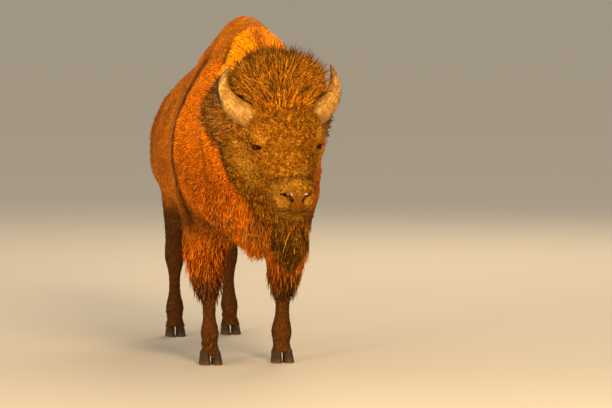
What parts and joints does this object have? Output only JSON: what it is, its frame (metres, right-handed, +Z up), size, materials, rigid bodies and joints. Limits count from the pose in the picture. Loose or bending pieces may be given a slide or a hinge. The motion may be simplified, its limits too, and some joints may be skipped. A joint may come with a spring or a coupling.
{
  "type": "american bison model",
  "caption": "Life-size still model of an adult bull bison standing with its head low, with a high shoulder hump, short curved horns, a beard and a tufted tail.",
  "frame": {"origin": "middle of the footprint of the bounding box, on the ground", "axes": "+Z up; the animal faces -Y, so +Y runs from its head to its tail, and +X is its left side"},
  "size_m": [0.769, 2.9858, 1.7859],
  "materials": {
    "cape": "woolly rust-brown hair",
    "bonnet": "curly dark brown hair with dark ends",
    "beard": "long coarse blackish brown hair",
    "short": "short flat brown hair",
    "leg": "short dark brown hair",
    "horn": "satin grey-tan horn with fine growth lines and dark tips",
    "hoof": "dull dark hoof horn with growth rings",
    "eye": "wet dark brown gloss"
  },
  "bodies": {
    "root": {"barrel": "short", "beard": "beard", "bonnet": "bonnet", "claw_fore_left_left": "hoof", "claw_fore_left_right": "hoof", "claw_fore_right_left": "hoof", "claw_fore_right_right": "hoof", "claw_hind_left_left": "hoof", "claw_hind_left_right": "hoof", "claw_hind_right_left": "hoof", "claw_hind_right_right": "hoof", "dewclaw_fore_left_left": "hoof", "dewclaw_fore_left_right": "hoof", "dewclaw_fore_right_left": "hoof", "dewclaw_fore_right_right": "hoof", "dewclaw_hind_left_left": "hoof", "dewclaw_hind_left_right": "hoof", "dewclaw_hind_right_left": "hoof", "dewclaw_hind_right_right": "hoof", "ear_left": "bonnet", "ear_right": "bonnet", "eye_left": "eye", "eye_right": "eye", "foreleg_left": "leg", "foreleg_right": "leg", "head": "bonnet", "hindleg_left": "leg", "hindleg_right": "leg", "hindquarters": "short", "horn_left": "horn", "horn_right": "horn", "lower_jaw": "bonnet", "neck": "cape", "shoulders_and_hump": "cape", "tail": "short", "tail_switch": "beard"}
  },
  "joints": []
}
